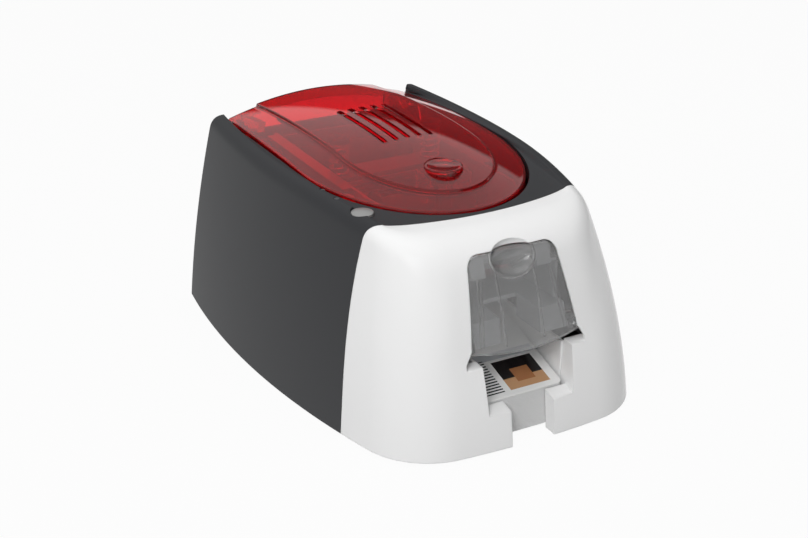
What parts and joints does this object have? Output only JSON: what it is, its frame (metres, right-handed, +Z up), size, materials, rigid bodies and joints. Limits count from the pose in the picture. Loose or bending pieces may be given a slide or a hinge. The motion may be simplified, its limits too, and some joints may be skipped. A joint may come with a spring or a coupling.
{
  "type": "ID card printer",
  "caption": "Desktop ID card printer: graphite casing, white stepped front with card outlet, smoked feeder flap, hinged red lid carrying the print head.",
  "frame": {"origin": "on the table, under the middle of the casing", "axes": "+Z up, the front faces -Y, +X to the right as seen from the front"},
  "size_m": [0.2146, 0.29, 0.1409],
  "materials": {
    "graphite_plastic": "satin",
    "white_plastic": "gloss",
    "red_clear_plastic": "translucent gloss",
    "smoked_clear_plastic": "translucent gloss",
    "grey_plastic": "satin",
    "dark_plastic": "satin",
    "button_silver": "metallic paint",
    "light_pipe": "clear",
    "steel_plate": "satin",
    "black_steel": "satin",
    "steel_pin": "polished",
    "bronze": "satin",
    "rubber": "matte",
    "gear_plastic": "satin",
    "brass_gear": "satin",
    "head_aluminium": "satin",
    "ribbon": "gloss",
    "blue_rubber": "matte",
    "card_plastic": "gloss",
    "circuit_board": "satin"
  },
  "bodies": {
    "chassis": {"base_plate": "dark_plastic", "rubber_feet": "rubber", "body_shell": "graphite_plastic", "rear_panel": "graphite_plastic", "front_cover": "white_plastic", "card_hopper": "grey_plastic", "press_shaft": "steel_pin", "output_tray": "white_plastic", "card_stack": "card_plastic", "frame_left": "steel_plate", "frame_right": "black_steel", "front_tie": "black_steel", "rear_frame": "black_steel", "idler_posts": "steel_pin", "shaft_bushes": "bronze", "feed_motor": "steel_plate", "motor_bracket": "steel_plate", "ribbon_motor": "steel_plate", "ribbon_bracket": "steel_plate", "ribbon_film": "ribbon", "hinge_pins": "steel_pin", "status_leds": "light_pipe", "control_board": "circuit_board", "main_board": "circuit_board", "usb_socket": "steel_plate", "power_jack": "dark_plastic"},
    "flap": {"feeder_flap": "smoked_clear_plastic", "flap_pins": "steel_pin"},
    "press": {"card_press": "grey_plastic"},
    "card": {"printed_card": "card_plastic"},
    "platen": {"platen_shaft": "steel_pin", "platen_roller": "rubber", "platen_gear": "gear_plastic"},
    "idler_a": {"large_idler": "gear_plastic"},
    "transport": {"transport_shaft": "steel_pin", "transport_roller": "rubber", "transport_gear": "gear_plastic"},
    "idler_b": {"small_idler": "gear_plastic"},
    "pick": {"pick_shaft": "steel_pin", "pick_roller": "rubber", "pick_gear": "gear_plastic"},
    "motor_rotor": {"motor_pinion": "brass_gear"},
    "pinch": {"pinch_roller": "rubber"},
    "cleaning": {"cleaning_roller": "blue_rubber"},
    "takeup": {"takeup_spool": "ribbon", "takeup_gear": "gear_plastic"},
    "ribbon_rotor": {"ribbon_pinion": "brass_gear"},
    "supply": {"supply_spool": "ribbon"},
    "lid": {"lid_shell": "red_clear_plastic", "lid_arms": "red_clear_plastic", "head_bridge": "black_steel", "print_head": "head_aluminium", "head_springs": "steel_pin", "spring_caps": "dark_plastic", "latch_bracket": "red_clear_plastic"},
    "release": {"lid_button": "red_clear_plastic"},
    "latch": {"latch_hook": "dark_plastic"},
    "power": {"power_button": "button_silver"}
  },
  "joints": [
    {"name": "lid_hinge", "type": "hinge", "parent": "chassis", "child": "lid", "pos_m": [0, 0.1305, 0.1165], "axis": [-1, 0, 0], "range_deg": [0, 75]},
    {"name": "flap_hinge", "type": "hinge", "parent": "chassis", "child": "flap", "pos_m": [0, -0.12629, 0.0608], "axis": [1, 0, 0], "range_deg": [0, 100]},
    {"name": "press_hinge", "type": "hinge", "parent": "chassis", "child": "press", "pos_m": [0, -0.10329, 0.102], "axis": [1, 0, 0], "range_deg": [0, 28], "stiffness_Nm_per_rad": 0.02, "springref_deg": -34.38},
    {"name": "card_slide", "type": "slide", "parent": "chassis", "child": "card", "axis": [0, -1, 0], "range_m": [0, 0.045]},
    {"name": "power_push", "type": "slide", "parent": "chassis", "child": "power", "axis": [0, 0, -1], "range_m": [0, 0.0015], "stiffness_N_per_m": 300, "springref_m": -0.002},
    {"name": "release_push", "type": "slide", "parent": "lid", "child": "release", "axis": [0, 0, -1], "range_m": [0, 0.002], "stiffness_N_per_m": 300, "springref_m": -0.003},
    {"name": "latch_turn", "type": "hinge", "parent": "lid", "child": "latch", "pos_m": [0, -0.0386, 0.118], "axis": [1, 0, 0], "range_deg": [0, 14.5]},
    {"name": "platen_spin", "type": "hinge", "parent": "chassis", "child": "platen", "pos_m": [0, 0.035, 0.0663], "axis": [1, 0, 0], "continuous": true},
    {"name": "large_idler_spin", "type": "hinge", "parent": "chassis", "child": "idler_a", "pos_m": [0.052, 0.00635, 0.0663], "axis": [1, 0, 0], "continuous": true},
    {"name": "transport_spin", "type": "hinge", "parent": "chassis", "child": "transport", "pos_m": [0, -0.0223, 0.0663], "axis": [1, 0, 0], "continuous": true},
    {"name": "small_idler_spin", "type": "hinge", "parent": "chassis", "child": "idler_b", "pos_m": [0.052, -0.04145, 0.0663], "axis": [1, 0, 0], "continuous": true},
    {"name": "pick_spin", "type": "hinge", "parent": "chassis", "child": "pick", "pos_m": [0, -0.0606, 0.0663], "axis": [1, 0, 0], "continuous": true},
    {"name": "motor_spin", "type": "hinge", "parent": "chassis", "child": "motor_rotor", "pos_m": [0.055, 0.04571, 0.05559], "axis": [1, 0, 0], "continuous": true},
    {"name": "pinch_spin", "type": "hinge", "parent": "chassis", "child": "pinch", "pos_m": [0, -0.0223, 0.08046], "axis": [1, 0, 0], "continuous": true},
    {"name": "cleaning_spin", "type": "hinge", "parent": "chassis", "child": "cleaning", "pos_m": [0, -0.0338, 0.08046], "axis": [1, 0, 0], "continuous": true},
    {"name": "takeup_spin", "type": "hinge", "parent": "chassis", "child": "takeup", "pos_m": [0, -0.012, 0.098], "axis": [1, 0, 0], "continuous": true},
    {"name": "ribbon_motor_spin", "type": "hinge", "parent": "chassis", "child": "ribbon_rotor", "pos_m": [-0.054, 0.00296, 0.08304], "axis": [1, 0, 0], "continuous": true},
    {"name": "supply_spin", "type": "hinge", "parent": "chassis", "child": "supply", "pos_m": [0, 0.084, 0.098], "axis": [1, 0, 0], "continuous": true}
  ],
  "couplings": [
    {"joint": "large_idler_spin", "follows": "platen_spin", "ratio": -0.54054},
    {"joint": "transport_spin", "follows": "platen_spin", "ratio": 1},
    {"joint": "small_idler_spin", "follows": "platen_spin", "ratio": -1.1111},
    {"joint": "pick_spin", "follows": "platen_spin", "ratio": 1},
    {"joint": "motor_spin", "follows": "platen_spin", "ratio": -2},
    {"joint": "ribbon_motor_spin", "follows": "takeup_spin", "ratio": -2.5},
    {"joint": "supply_spin", "follows": "takeup_spin", "ratio": 0.78571},
    {"joint": "latch_turn", "follows": "release_push", "rad_per_m": 126.5}
  ]
}
